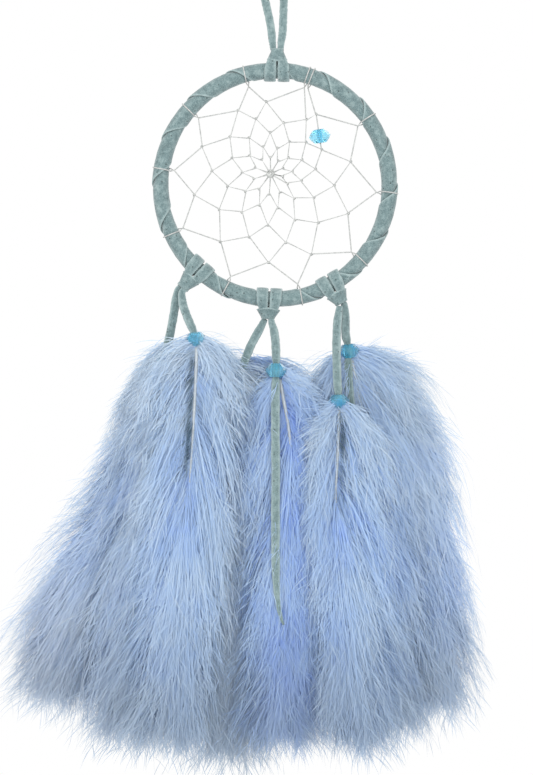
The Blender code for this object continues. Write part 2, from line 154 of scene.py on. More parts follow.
# The hanging loop's route, and each tail's: its bead's place in the list, and its points from the knot down
LOOP_ROUTE = (
    (-0.7, 0.0, 56.05), (-1.1, 0.0, 60.0), (-1.8, 0.0, 66.1), (-3.0, 0.0, 72.0), (-4.1, 0.0, 76.7),
    (-4.5, 0.0, 80.0), (-3.4, 0.0, 83.6), (-0.2, 0.0, 85.35), (3.0, 0.0, 83.6), (4.0, 0.0, 80.0),
    (3.7, 0.0, 76.7), (3.5, 0.0, 70.0), (3.2, 0.0, 63.5), (2.6, 0.0, 59.5), (2.3, 0.0, 56.05),
)
TAILS = {
    "left_front": (6, (
        (-37.7, -1.0, -43.2), (-38.6, -1.1, -45.2), (-38.1, -1.6, -49.6), (-36.4, -2.3, -54.6),
        (-34.3, -2.8, -59.4), (-33.3, -3.0, -61.6), (-32.8, -3.0, -64.0), (-32.7, -3.0, -67.5),
        (-33.3, -3.0, -75.0),
    )),
    "left_back": (6, (
        (-39.0, 1.0, -42.0), (-40.3, 1.1, -43.8), (-41.2, 1.6, -48.0), (-42.0, 2.1, -53.5),
        (-43.3, 2.6, -60.5), (-44.8, 3.0, -67.5), (-45.8, 3.0, -72.0), (-46.5, 3.0, -76.0),
        (-47.2, 3.0, -81.0),
    )),
    "centre_front": (5, (
        (-1.6, -1.2, -55.7), (-1.3, -1.5, -57.4), (-0.3, -1.8, -61.0), (0.3, -2.3, -66.4),
        (0.5, -2.9, -72.4), (0.4, -3.0, -77.0), (0.3, -3.6, -82.0), (0.2, -6.8, -92.0),
        (0.2, -11.0, -104.0), (0.3, -13.6, -120.0), (0.2, -14.6, -140.0), (0.3, -14.6, -158.0),
        (0.7, -14.4, -168.0), (1.8, -14.2, -176.0), (3.4, -14.0, -181.5),
    )),
    "centre_back": (6, (
        (-4.2, 1.2, -55.6), (-5.0, 1.5, -57.3), (-7.2, 1.8, -61.4), (-9.9, 2.2, -66.4),
        (-12.8, 2.8, -73.6), (-14.8, 3.0, -78.6), (-16.6, 3.0, -83.5), (-17.8, 3.0, -87.0),
        (-19.2, 3.0, -92.0),
    )),
    "right_front": (6, (
        (26.8, -1.0, -50.2), (26.5, -1.1, -52.2), (25.9, -1.6, -56.8), (25.5, -2.3, -64.4),
        (25.6, -2.8, -73.4), (25.9, -3.0, -82.4), (26.4, -3.0, -89.8), (26.5, -3.0, -93.2),
        (26.6, -3.0, -99.0),
    )),
    "right_back": (4, (
        (28.4, 1.0, -48.6), (28.9, 1.1, -50.6), (29.3, 1.6, -55.6), (29.4, 2.3, -62.0),
        (30.7, 3.0, -68.8), (30.4, 3.3, -74.0), (30.7, 3.9, -82.0), (31.3, 4.0, -90.0),
        (31.8, 4.0, -96.0),
    )),
}


class Feather(NamedTuple):
    """A feather: the body it rides on, its quill's line from its bead down, and its plume."""

    body: str
    line: tuple
    # The plume's reach to each side of the quill, and its half depth, in mm
    left: float
    right: float
    depth: float
    # How soon it widens, as a share of the quill, and the slant of its topmost down in degrees
    rise: float
    crown: float
    # The share of the quill that shows in front, and the side of it where a painted shadow darkens the furrow
    bare: float = 0.0
    furrow: int = 0
    # How much deeper its blue is: partly its own dye, partly painted shade on the plumes that fill the shaded
    # gaps between the others, and below 0 painted light that brightens such a gap
    deeper: float = 0.0


FEATHERS = {
    "feather_left_front": Feather("feather_left_front", (
        (-32.4, -4.6, -67.6), (-32.6, -6.2, -76.0), (-33.4, -9.8, -95.0), (-35.2, -12.0, -124.0),
        (-38.5, -12.0, -165.0), (-42.0, -12.0, -200.0), (-45.0, -11.5, -232.0),
    ), left=30.0, right=28.0, depth=11.5, rise=0.10, crown=78.0, bare=0.34, furrow=-1),
    "feather_left_back_1": Feather("feathers_left_back", (
        (-47.6, 4.9, -75.9), (-49.5, 8.5, -86.0), (-54.0, 15.0, -108.0), (-63.0, 17.5, -138.0),
        (-77.0, 17.5, -168.0), (-95.0, 17.0, -217.0),
    ), left=40.0, right=24.0, depth=9.5, rise=0.36, crown=50.0),
    "feather_left_back_2": Feather("feathers_left_back", (
        (-44.9, 3.4, -68.5), (-45.8, 4.9, -76.0), (-46.6, 6.3, -88.0), (-49.0, 8.7, -110.0),
        (-54.0, 9.2, -150.0), (-59.0, 9.2, -190.0), (-62.5, 9.0, -231.0),
    ), left=33.0, right=24.0, depth=12.0, rise=0.3, crown=55.0),
    "feather_centre_front": Feather("tail_centre_front", (
        (2.2, -1.7, -80.8), (3.4, -2.5, -88.0), (5.8, -4.5, -102.0), (6.6, -7.0, -116.0),
        (5.6, -8.4, -150.0), (4.0, -8.4, -195.0), (2.0, -8.4, -231.0),
    ), left=26.0, right=18.0, depth=7.0, rise=0.08, crown=80.0, bare=0.16, deeper=0.27),
    "feather_centre_back_1": Feather("feathers_centre_back", (
        (-16.2, 3.4, -80.5), (-18.0, 4.9, -88.0), (-18.6, 6.3, -98.0), (-19.2, 8.7, -120.0),
        (-18.5, 6.5, -165.0), (-20.0, 6.5, -205.0), (-23.0, 7.5, -240.0),
    ), left=26.0, right=28.0, depth=12.0, rise=0.06, crown=100.0, deeper=-0.2),
    "feather_centre_back_2": Feather("feathers_centre_back", (
        (-8.0, 9.0, -77.0), (-8.5, 11.0, -90.0), (-6.0, 14.5, -115.0), (0.0, 17.5, -150.0),
        (4.0, 17.5, -195.0), (6.0, 17.0, -231.0),
    ), left=26.0, right=36.0, depth=9.5, rise=0.04, crown=95.0, deeper=0.25),
    "feather_right_front": Feather("feather_right_front", (
        (26.5, -4.6, -93.5), (26.2, -6.4, -102.0), (25.6, -9.8, -116.0), (25.0, -12.0, -134.0),
        (27.0, -12.0, -170.0), (30.5, -12.0, -205.0), (34.0, -11.5, -231.0),
    ), left=16.0, right=32.0, depth=11.5, rise=0.12, crown=70.0, bare=0.27, furrow=1, deeper=0.06),
    "feather_right_back_1": Feather("feathers_right_back", (
        (32.0, 4.9, -72.6), (33.8, 6.0, -81.0), (37.6, 8.7, -101.7), (41.0, 9.2, -130.0),
        (44.0, 9.2, -180.0), (46.0, 9.0, -229.0),
    ), left=33.0, right=27.0, depth=12.0, rise=0.05, crown=80.0, bare=0.18, deeper=0.1),
    "feather_right_back_2": Feather("feathers_right_back", (
        (30.4, 5.2, -72.6), (35.5, 8.6, -79.0), (47.0, 14.5, -96.0), (57.5, 17.5, -124.0),
        (61.0, 17.5, -162.0), (66.0, 17.0, -221.0),
    ), left=26.0, right=26.0, depth=9.5, rise=0.04, crown=60.0, deeper=0.06),
}


def local(right, back, up):
    """A place given in millimetres from the hoop's centre, in the row's frame."""
    return CENTRE + Vector((right, back, up)) * MM


def on_hoop(degrees):
    """The middle of the tube at this angle, and the outward and the tangent direction there."""
    angle = math.radians(degrees)
    outward = Vector((math.cos(angle), 0.0, math.sin(angle)))
    tangent = Vector((-math.sin(angle), 0.0, math.cos(angle)))
    return CENTRE + HOOP_RADIUS * outward, outward, tangent


def smooth_route(points, steps):
    """Points along a Catmull-Rom curve through the route's own points, with this many steps in each span."""
    padded = [2 * points[0] - points[1], *points, 2 * points[-1] - points[-2]]
    out = []
    for a, b, c, d in zip(padded, padded[1:], padded[2:], padded[3:]):
        bend = 2 * a - 5 * b + 4 * c - d
        twist = 3 * b - a - 3 * c + d
        for i in range(steps):
            t = i / steps
            out.append(0.5 * (2 * b + (c - a) * t + bend * t**2 + twist * t**3))
    out.append(points[-1])
    return out


# ---------------------------------------------------------------- camera, light and floor


def make_camera():
    """Straight at the front, 221 mm wide at the hoop, in an upright frame of 533 to 775."""
    width = 221.0 * MM
    height = width * 775 / 533
    distance = 1.6
    middle = local(-3.5, 0, -84.0)
    camera = bpy.data.objects.new("camera", bpy.data.cameras.new("camera"))
    bpy.context.scene.collection.objects.link(camera)
    camera.data.sensor_fit = "VERTICAL"
    camera.data.angle = 2 * math.atan(height / 2 / distance)
    camera.location = middle - BACK * distance
    camera.rotation_euler = (math.pi / 2, 0, 0)
    bpy.context.scene.camera = camera


def add_light(name, place, size, power, target):
    light = bpy.data.lights.new(name, "AREA")
    light.size = size
    light.energy = power
    lamp = bpy.data.objects.new(name, light)
    bpy.context.scene.collection.objects.link(lamp)
    lamp.location = place
    lamp.rotation_euler = (target - Vector(place)).to_track_quat("-Z", "Y").to_euler()


def make_studio():
    """The lights, a white surround, and a floor a little below the feathers."""
    middle = local(0, 0, -90)
    for light in LIGHTS:
        add_light(*light, middle)
    world = bpy.data.worlds.new("studio")
    world.use_nodes = True
    surround = world.node_tree.nodes["Background"].inputs
    surround["Color"].default_value = (1, 1, 1, 1)
    surround["Strength"].default_value = 1.0
    bpy.context.scene.world = world
    bpy.context.scene.view_settings.view_transform = "Standard"
    floor_mesh = bpy.data.meshes.new("floor")
    bm = bmesh.new()
    bmesh.ops.create_circle(bm, cap_ends=True, segments=64, radius=0.7)
    bm.to_mesh(floor_mesh)
    bm.free()
    floor = bpy.data.objects.new("floor", floor_mesh)
    bpy.context.scene.collection.objects.link(floor)
    floor.location = (0, 0, CAD_BOX[0][2] - 0.07)
    shader = Shader("floor", 0.8)
    shader.surface.inputs["Base Color"].default_value = (0.9, 0.9, 0.9, 1)
    floor_mesh.materials.append(shader.material)


# ---------------------------------------------------------------- materials


class Shader:
    """A material's node tree with short ways to add and link nodes."""

    def __init__(self, name, roughness):
        self.material = bpy.data.materials.new(name)
        self.material.use_nodes = True
        self.tree = self.material.node_tree
        self.surface = self.tree.nodes["Principled BSDF"]
        self.surface.inputs["Roughness"].default_value = roughness

    def node(self, kind, inputs=(), **settings):
        made = self.tree.nodes.new(kind)
        for key, value in settings.items():
            setattr(made, key, value)
        for key, value in dict(inputs).items():
            if isinstance(value, bpy.types.NodeSocket):
                self.tree.links.new(value, made.inputs[key])
            else:
                made.inputs[key].default_value = value
        return made

    def noise(self, scale, detail=3.0, rough=0.6):
        where = self.node("ShaderNodeTexCoord").outputs["Object"]
        inputs = {"Vector": where, "Scale": scale, "Detail": detail, "Roughness": rough}
        return self.node("ShaderNodeTexNoise", inputs).outputs["Fac"]

    def ramp(self, factor, *stops):
        """A colour ramp through (position, colour) stops."""
        made = self.node("ShaderNodeValToRGB", {"Fac": factor})
        elements = made.color_ramp.elements
        while len(elements) < len(stops):
            elements.new(1.0)
        for element, (position, colour) in zip(elements, stops):
            element.position = position
            element.color = (*colour, 1.0)
        return made.outputs["Color"]

    def mix(self, factor, a, b, blend="MIX"):
        """Two colours mixed. The node's colour sockets come after its float and vector ones."""
        made = self.node("ShaderNodeMix", data_type="RGBA", blend_type=blend)
        for socket, value in ((made.inputs[0], factor), (made.inputs[6], a), (made.inputs[7], b)):
            if isinstance(value, bpy.types.NodeSocket):
                self.tree.links.new(value, socket)
            elif isinstance(value, float):
                socket.default_value = value
            else:
                socket.default_value = (*value, 1.0)
        return made.outputs[2]

    def math(self, operation, a, b=0.0):
        made = self.node("ShaderNodeMath", operation=operation)
        for socket, value in zip(made.inputs, (a, b)):
            if isinstance(value, bpy.types.NodeSocket):
                self.tree.links.new(value, socket)
            else:
                socket.default_value = value
        return made.outputs[0]

    def colour(self, socket):
        self.tree.links.new(socket, self.surface.inputs["Base Color"])

    def bump(self, height, strength, distance):
        made = self.node("ShaderNodeBump", {"Height": height, "Strength": strength, "Distance": distance})
        self.tree.links.new(made.outputs["Normal"], self.surface.inputs["Normal"])


def suede_material():
    """Napped split leather: mottled and speckled, with paler cut edges, small dark pits and a fine nap."""
    shader = Shader("suede", 0.95)
    mottling = shader.noise(420.0, 5.0, 0.75)
    nap = shader.noise(2100.0, 3.0, 0.7)
    base = shader.ramp(mottling, (0.32, SUEDE_DARK), (0.5, SUEDE_MID), (0.68, SUEDE_LIGHT))
    fibres = shader.ramp(nap, (0.42, (0, 0, 0)), (0.72, (1, 1, 1)))
    speckled = shader.mix(shader.math("MULTIPLY", fibres, 0.75), base, SUEDE_LIGHT)
    edge = shader.node("ShaderNodeAttribute", attribute_name="edge").outputs["Fac"]
    speckled = shader.mix(shader.math("MULTIPLY", edge, 0.55), speckled, SUEDE_EDGE)
    where = shader.node("ShaderNodeTexCoord").outputs["Object"]
    cells = shader.node("ShaderNodeTexVoronoi", {"Vector": where, "Scale": 480.0}).outputs["Distance"]
    pits = shader.ramp(cells, (0.0, (0.3, 0.3, 0.3)), (0.13, (0.5, 0.5, 0.5)), (0.2, (1, 1, 1)))
    chosen = shader.ramp(shader.noise(300.0, 1.0), (0.46, (0, 0, 0)), (0.52, (1, 1, 1)))
    shader.colour(shader.mix(chosen, speckled, shader.mix(1.0, speckled, pits, "MULTIPLY")))
    grain = shader.math("ADD", shader.math("MULTIPLY", nap, 0.6), shader.math("MULTIPLY", mottling, 0.4))
    shader.bump(grain, 0.55, 0.0004)
    shader.surface.inputs["Sheen Weight"].default_value = 0.35
    shader.surface.inputs["Sheen Roughness"].default_value = 0.5
    return shader.material


def thread_material():
    """Waxed thread: off-white, with darker lines between its plies."""
    shader = Shader("waxed_thread", 0.5)
    plies = shader.noise(900.0, 2.0)
    shader.colour(shader.ramp(plies, (0.3, (0.3, 0.31, 0.305)), (0.7, (0.48, 0.49, 0.475))))
    shader.bump(plies, 0.3, 0.0001)
    return shader.material


def bead_material():
    """Clear aqua acrylic, a little cloudy."""
    shader = Shader("aqua_acrylic", 0.04)
    cloud = shader.noise(180.0, 2.0)
    shader.colour(shader.ramp(cloud, (0.35, (0.2, 0.66, 0.86)), (0.65, (0.44, 0.82, 0.95))))
    shader.surface.inputs["Transmission Weight"].default_value = 0.82
    shader.surface.inputs["IOR"].default_value = 1.35
    return shader.material


def quill_material():
    """Pale translucent horn with fine lines along it."""
    shader = Shader("quill", 0.35)
    lines = shader.noise(700.0, 2.0)
    shader.colour(shader.ramp(lines, (0.3, (0.32, 0.36, 0.39)), (0.7, (0.44, 0.48, 0.5))))
    shader.bump(lines, 0.2, 0.0001)
    return shader.material


def down_material():
    """Dyed down, some of the light passing through.

    Each strand has its own shade, deeper inside the plume. It is painted paler at the sides and greyer at the
    foot, light standing for the white surround seen through thin down, and painted dark in the furrow beside
    a bare quill, a painted shadow.
    """
    shader = Shader("dyed_down", 0.9)

    def layer(name):
        return shader.node("ShaderNodeAttribute", attribute_name=name).outputs["Fac"]

    patches = shader.math("MULTIPLY", shader.math("SUBTRACT", shader.noise(34.0, 2.0), 0.5), 0.7)
    wisps = shader.math("MULTIPLY", shader.math("SUBTRACT", shader.noise(150.0, 3.0), 0.5), 0.3)
    tone_and_painted_shading = shader.math("ADD", layer("tone_and_painted_shading"), shader.math("ADD", patches, wisps))
    colour = shader.ramp(
        tone_and_painted_shading,
        (0.0, (0.34, 0.5, 0.88)),
        (0.3, (0.49, 0.65, 0.88)),
        (0.6, (0.59, 0.72, 0.865)),
        (0.95, (0.68, 0.77, 0.855)),
    )
    for name, most, towards in (
        # Painted light: paler at the sides and greyer at the foot, standing for the white surround seen
        # through thin down
        ("side", 0.7, (0.66, 0.69, 0.76)),
        ("low", 0.72, (0.36, 0.43, 0.52)),
        # Painted shadow in the furrow beside a bare quill, a near-black blue
        ("furrow_shadow", 0.9, (0.09, 0.15, 0.2)),
    ):
        colour = shader.mix(shader.math("MULTIPLY", layer(name), most), colour, towards)
    shader.colour(colour)
    shader.surface.inputs["Specular IOR Level"].default_value = 0.1
    through = shader.node("ShaderNodeBsdfTranslucent", {"Color": colour}).outputs["BSDF"]
    both = shader.node("ShaderNodeMixShader", {0: 0.44, 1: shader.surface.outputs["BSDF"], 2: through})
    shader.tree.links.new(both.outputs["Shader"], shader.tree.nodes["Material Output"].inputs["Surface"])
    return shader.material


# ---------------------------------------------------------------- mesh helpers


def add_piece(name, mesh, material, body, smooth=True):
    """A visible piece of this mesh and material, which rides on the body."""
    piece = bpy.data.objects.new(name, mesh)
    bpy.context.scene.collection.objects.link(piece)
    mesh.materials.append(material)
    if smooth:
        mesh.shade_smooth()
    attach(piece, body)
    return piece


def skin(name, rows, closed_loop=False):
    """A closed mesh through rings of points: its ends are capped, or its last ring joins its first."""
    count = len(rows[0])
    verts = [point for row in rows for point in row]
    faces = []
    spans = len(rows) if closed_loop else len(rows) - 1
    for r in range(spans):
        here, there = r * count, (r + 1) % len(rows) * count
        for i in range(count):
            j = (i + 1) % count
            faces.append((here + i, here + j, there + j, there + i))
    if not closed_loop:
        faces.append(tuple(range(count))[::-1])
        faces.append(tuple((len(rows) - 1) * count + i for i in range(count)))
    mesh = bpy.data.meshes.new(name)
    mesh.from_pydata(verts, [], faces)
    mesh.validate()
    bm = bmesh.new()
    bm.from_mesh(mesh)
    bmesh.ops.recalc_face_normals(bm, faces=bm.faces)
    bm.to_mesh(mesh)
    bm.free()
    return mesh


# A flat strip's outline, softly rounded at its edges and swollen by its crown in the middle: (across, up) as
# shares of half its width and half its thickness, and how near the point is to a cut edge
CROWN = 0.12
LACE_SECTION = (
    (-1.0, 0.0, 1.0), (-0.97, 0.62, 1.0), (-0.86, 0.95, 0.75), (-0.45, 1 + CROWN / 2, 0.0),
    (0.0, 1 + CROWN, 0.0), (0.45, 1 + CROWN / 2, 0.0), (0.86, 0.95, 0.75), (0.97, 0.62, 1.0),
    (1.0, 0.0, 1.0), (0.97, -0.62, 1.0), (0.86, -0.95, 0.75), (0.45, -1 - CROWN / 2, 0.0),
    (0.0, -1 - CROWN, 0.0), (-0.45, -1 - CROWN / 2, 0.0), (-0.86, -0.95, 0.75), (-0.97, -0.62, 1.0),
)


def mark_edges(mesh, values):
    """Keeps how near each point is to a cut edge, which the suede's material draws paler."""
    layer = mesh.attributes.new("edge", "FLOAT", "POINT")
    layer.data.foreach_set("value", np.array(values, np.float32))


def joined(name, parts):
    """One mesh from several, which keeps their point values."""
    bm = bmesh.new()
    for part in parts:
        bm.from_mesh(part)
    mesh = bpy.data.meshes.new(name)
    bm.to_mesh(mesh)
    bm.free()
    return mesh


def strip(name, points, normals, widths, thickness, seed):
    """A strip of suede along a line, its flat side facing the normals, its cut edges a little uneven."""
    rng = np.random.default_rng(seed)
    rows = []
    for i, point in enumerate(points):
        ahead = (points[min(i + 1, len(points) - 1)] - points[max(i - 1, 0)]).normalized()
        normal = (normals[i] - normals[i].dot(ahead) * ahead).normalized()
        across = ahead.cross(normal)
        uneven = 1 + 0.02 * rng.standard_normal()
        shift = across * (0.04 * MM * rng.standard_normal())
        half, flat = widths[i] * uneven / 2, thickness / 2
        row = []
        for x, y, _ in LACE_SECTION:
            row.append(point + shift + (across * (x * half) + normal * (y * flat)))
        rows.append(row)
    mesh = skin(name, rows)
    mark_edges(mesh, [edge for *_, edge in LACE_SECTION] * len(rows))
    return mesh


# ---------------------------------------------------------------- laces


def squeeze(points, bead):
    """The share of its width that a lace has at each point: it is drawn in at its knot and in its bead."""
    # In mm, half of what the bead holds, and the same again to spread out in
    held = 2.6
    out = []
    for point in points:
        from_bead = (point - bead).length / MM
        from_knot = (point - points[0]).length / MM
        free = min(1.0, max(0.0, (from_bead - held) / held))
        at_bead = WIDTH_IN_BEAD + (1 - WIDTH_IN_BEAD) * free
        out.append(min(at_bead, WIDTH_AT_KNOT + 0.06 * from_knot, 1.0))
    return out


def make_loop(suede):
    """The hanging loop, drawn in at the knot that both its ends leave."""
    points = smooth_route([local(*place) for place in LOOP_ROUTE], ROUTE_STEPS)
    low = min(points[0].z, points[-1].z)
    widths = [LACE_WIDTH * min(0.93, WIDTH_AT_KNOT + 0.045 * (point.z - low) / MM) for point in points]
    mesh = strip("hanging_lace", points, [-BACK] * len(points), widths, LACE_THICKNESS, 5)
    piece = add_piece("hanging_lace", mesh, suede, "loop")
    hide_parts("hanging_loop")


def make_tail(name, bead_at, route, suede, acrylic):
    """A tail's lace and its bead. The lace is cut square at its end or, on the long one, to a point."""
    body = "tail_" + name
    points = smooth_route([local(*place) for place in route], ROUTE_STEPS)
    bead = local(*route[bead_at])
    share = squeeze(points, bead)
    if name == "centre_front":
        tapered, tip = 26, 0.25
        for i in range(tapered):
            share[-1 - i] *= tip + (1 - tip) * i / tapered
    rng = np.random.default_rng(len(name))
    turn = rng.uniform(-0.5, 0.5)
    normals = []
    for i in range(len(points)):
        angle = turn * math.sin(math.pi * min(1.0, i / (ROUTE_STEPS * bead_at)))
        normals.append(Vector((math.sin(angle), -math.cos(angle), 0.0)))
    mesh = strip("lace_" + name, points, normals, [LACE_WIDTH * s for s in share], LACE_THICKNESS, 11)
    piece = add_piece("suede_" + name, mesh, suede, body)
    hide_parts("lace_" + name)
    axis = (local(*route[bead_at - 1]) - local(*route[bead_at + 1])).normalized()
    pony = make_bead("pony_" + name, bead, axis, LACE_HOLE, acrylic, body)
    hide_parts("bead_" + name)


# ---------------------------------------------------------------- beads


def make_bead(name, centre, axis, hole, acrylic, body):
    """A faceted bead: rings of corners from the hole's rim over the widest part and back through the hole."""
    rim = hole * 1.07
    face = max(hole * 1.15, 0.54 * BEAD_RADIUS)
    shoulder = 0.82 * BEAD_RADIUS
    profile = (
        (hole, 0.85), (rim, 0.98), (face, 1.0), (shoulder, 0.5), (BEAD_RADIUS, 0.0),
        (shoulder, -0.5), (face, -1.0), (rim, -0.98), (hole, -0.85),
    )
    rows = []
    for radius, height in profile:
        row = []
        for i in range(BEAD_FACETS):
            angle = 2 * math.pi * i / BEAD_FACETS
            corner = (radius * math.cos(angle), radius * math.sin(angle), height * BEAD_HALF_HEIGHT)
            row.append(Vector(corner))
        rows.append(row)
    mesh = skin(name, rows, closed_loop=True)
    turn = Vector((0, 0, 1)).rotation_difference(axis).to_matrix().to_4x4()
    mesh.transform(Matrix.Translation(centre) @ turn)
    return add_piece(name, mesh, acrylic, body, smooth=False)


# ---------------------------------------------------------------- hoop


def make_wrap(suede):
    """The suede strip round the ring: each turn laps a little over the last, which leaves a slanting edge."""
    pitch = 2 * math.pi / WRAP_TURNS
    steps = 40
    lap = 0.05
    # How much the strip wanders along the hoop, in radians, ending as it began
    rng = np.random.default_rng(3)
    wander = np.cumsum(rng.standard_normal(WRAP_TURNS * steps + 1)) * 0.0006
    wander -= np.linspace(0, wander[-1], len(wander))
    # Across the strip: the share of its pitch, and the height over the wrapped tube's mean, in mm
    profile = (
        (-lap, -0.75), (-lap * 0.5, -0.7), (0.0, -0.6), (0.05, -0.3), (0.16, -0.12),
        (0.35, -0.02), (0.6, 0.05), (0.8, 0.12), (0.93, 0.22), (0.985, 0.26),
        (1.0, 0.18), (1.0, -0.35), (0.85, -0.75), (0.4, -0.9), (0.0, -0.9),
    )
    rows = []
    for step in range(WRAP_TURNS * steps):
        turn = step / steps
        around = 2 * math.pi * turn
        swell = 0.05 * math.sin(5.3 * turn) + 0.04 * math.sin(13.1 * turn + 1)
        row = []
        for share, height in profile:
            angle = math.pi / 2 + pitch * (turn + share) + wander[step]
            middle, outward, _ = on_hoop(math.degrees(angle))
            reach = TUBE_RADIUS + (height + swell - 0.05) * MM
            row.append(middle + reach * (math.cos(around) * outward + math.sin(around) * BACK))
        rows.append(row)
    mesh = skin("suede_wrap", rows)
    edges = [1.0 if share > 0.95 and height > 0 else 0.0 for share, height in profile]
    mark_edges(mesh, edges * len(rows))
    piece = add_piece("suede_wrap", mesh, suede, "hoop")
    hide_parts("hoop_wrap")


def finish_ring():
    """The steel ring inside the wrap keeps its CAD shape, in drawn steel."""
    shader = Shader("drawn_steel", 0.38)
    streaks = shader.noise(260.0, 4.0)
    shader.colour(shader.ramp(streaks, (0.3, (0.42, 0.43, 0.44)), (0.7, (0.58, 0.58, 0.58))))
    shader.bump(streaks, 0.15, 0.0001)
    shader.surface.inputs["Metallic"].default_value = 1.0
    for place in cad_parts["hoop_ring"].material_slots:
        place.material = shader.material


def knot_point(degrees, along, out, back):
    """A place in a knot: millimetres along the tube, outward and backward from the middle of the tube."""
    middle, outward, tangent = on_hoop(degrees)
    return middle + (along * tangent + out * outward) * MM + back * MM * BACK


def make_knot(name, degrees, tip, lip, suede, body):
    """A lark's head: two turns round the tube, and over them the bight, the collar that the ends leave."""
    middle, _, tangent = on_hoop(degrees)
    # One turn, in mm as for knot_point: from the collar down in front of the tube, under it and up behind it
    line = (
        (1.1, tip - 0.6, -0.9), (1.5, 5.6, -1.9), (2.05, 4.2, -2.65), (2.45, 2.5, -3.5),
        (2.7, 0.3, -4.15), (2.8, -2.1, -3.55), (2.85, -3.6, -2.1), (2.85, -4.15, 0.0),
        (2.8, -3.6, 2.1), (2.75, -2.1, 3.55), (2.6, 0.3, 4.15), (2.4, 2.5, 3.5),
        (2.0, 4.2, 2.65), (1.5, 5.6, 1.9), (1.1, tip - 0.6, 0.9),
    )
    steps, narrow, wider = 4, 2.6, 2.2
    parts = []
    for side in (-1, 1):
        points = smooth_route([knot_point(degrees, side * a, o, b) for a, o, b in line], steps)
        normals = []
        for point in points:
            away = point - middle
            normals.append((away - away.dot(tangent) * tangent).normalized())
        # It leaves the collar narrow and spreads out over four spans
        spread = [min(1.0, min(i, len(points) - 1 - i) / (4 * steps)) for i in range(len(points))]
        widths = [(narrow + wider * share) * MM for share in spread]
        parts.append(strip(f"{name}_turn", points, normals, widths, 1.1 * MM, 17 + side))
    # Up the collar: millimetres from its lower edge, half width and half depth, and how near a cut edge it is
    height = tip + 0.9 - LIP_OUT
    profile = (
        (0.5, lip - 0.9, 2.7, 0.0), (-0.05, lip - 0.5, 3.05, 1.0), (-0.2, lip, 3.5, 1.0),
        (0.0, lip + 0.2, 3.75, 1.0), (0.35, lip + 0.15, 3.75, 0.6), (0.6, lip - 0.1, 3.5, 0.0),
        (0.42 * height, lip * 0.84, 3.1, 0.0), (0.75 * height, lip * 0.66, 2.45, 0.0),
        (0.93 * height, 2.75, 2.0, 0.2), (height, 2.6, 1.75, 1.0), (height - 0.1, 2.1, 1.2, 1.0),
    )
    sides = 40
    rng = np.random.default_rng(29)
    rows = []
    for up, wide, deep, _ in profile:
        row = []
        for i in range(sides):
            turn = 2 * math.pi * i / sides
            x, y = math.cos(turn), math.sin(turn)
            x, y = (math.copysign(abs(v) ** 0.8, v) for v in (x, y))
            dip = 0.35 * math.cos(2 * turn) * max(0.0, 1 - up / 2.5) + 0.03 * rng.standard_normal()
            row.append(knot_point(degrees, wide * x, LIP_OUT + up + dip, deep * y))
        rows.append(row)
    collar = skin(f"{name}_bight", rows)
    mark_edges(collar, [edge for *_, edge in profile for _ in range(sides)])
    parts.append(collar)
    piece = add_piece("suede_" + name, joined("suede_" + name, parts), suede, body)
    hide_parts(name)


# ---------------------------------------------------------------- web


def hitch_places():
    """Where the thread is hitched, to the hoop and then to itself, as (right, up) in mm in that order."""
    places = []
    for angle in map(math.radians, ANCHORS):
        places.append(Vector((math.cos(angle), math.sin(angle))) * ANCHOR_REACH)
    for pull in PULLS:
        for turn in range(HITCHES):
            along = FIRST_HITCHES[turn] if pull == PULLS[0] else LATER_HITCHES
            start, end = places[-HITCHES], places[-HITCHES + 1]
            places.append(start.lerp(end, along).lerp(WEB_CENTRE, pull))
            if len(places) == 2 * HITCHES + 1:
                places[-1].y -= BEAD_SAG
    return places


def anchor_turn(degrees, reach, steps=20):
    """The thread's turn round the wrapped tube, between its two crossings at the hitch."""
    half_step = math.degrees(0.6 * MM / HOOP_RADIUS)
    points = []
    for i in range(steps + 1):
        share = i / steps
        middle, outward, _ = on_hoop(degrees + half_step * (1 - 2 * share))
        around = 2 * math.pi * share
        points.append(middle - reach * (math.cos(around) * outward + math.sin(around) * BACK))
    return points


def tube(points, radii, sides=6):
    """Rows of a round tube along a line, with a radius for each of its points."""
    rows = []
    side = Vector((0.3, 0.2, 1.0))
    for i, (point, radius) in enumerate(zip(points, radii)):
        ahead = points[min(i + 1, len(points) - 1)] - points[max(i - 1, 0)]
        if ahead.length < 1e-9:
            continue
        ahead.normalize()
        side = side - side.dot(ahead) * ahead
        if side.length < 1e-6:
            side = ahead.orthogonal()
        side.normalize()
        other = ahead.cross(side)
        row = []
        for k in range(sides):
            angle = 2 * math.pi * k / sides
            row.append(point + radius * (math.cos(angle) * side + math.sin(angle) * other))
        rows.append(row)
    return rows


def web_line(places):
    """The thread's whole line, from its start at the hoop to the middle of the web."""
    reach = TUBE_RADIUS + 0.25 * MM
    route = []
    for k, place in enumerate(places[:-1]):
        if k < HITCHES:
            route.append(local(place.x, -CROSSING, place.y))
            route.extend(anchor_turn(ANCHORS[k], reach))
        route.append(local(place.x, CROSSING, place.y))
        if k + HITCHES < len(places):
            hooked = places[k + HITCHES]
        else:
            middle = place.lerp(places[k + 1], 0.5)
            hooked = WEB_CENTRE + (middle - WEB_CENTRE).normalized() * MIDDLE_RADIUS
        ahead = (places[k + 1] - place).normalized() * HALF_HITCH
        for step in (-1.0, -0.5, 0.5, 1.0):
            lift = -CROSSING * (1.0 if abs(step) < 1 else 0.7)
            route.append(local(hooked.x + ahead.x * step, lift, hooked.y + ahead.y * step))
    last = places[-1]
    route.append(local(last.x, CROSSING, last.y))
    route.append(local(WEB_CENTRE.x, 0.0, WEB_CENTRE.y))
    return route


def thread_mesh(name, points, radius):
    return skin(name, tube(points, [radius] * len(points)))


def make_web(thread):
    """The web's one thread, its hitches and the knot in its middle. It gives back where the hitches are."""
    places = hitch_places()
    mesh = thread_mesh("web", web_line(places), THREAD_RADIUS)
    web = add_piece("waxed_web", mesh, thread, "hoop")
    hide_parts("web_thread")
    make_hitches(places, thread)
    make_middle(thread)
    return places


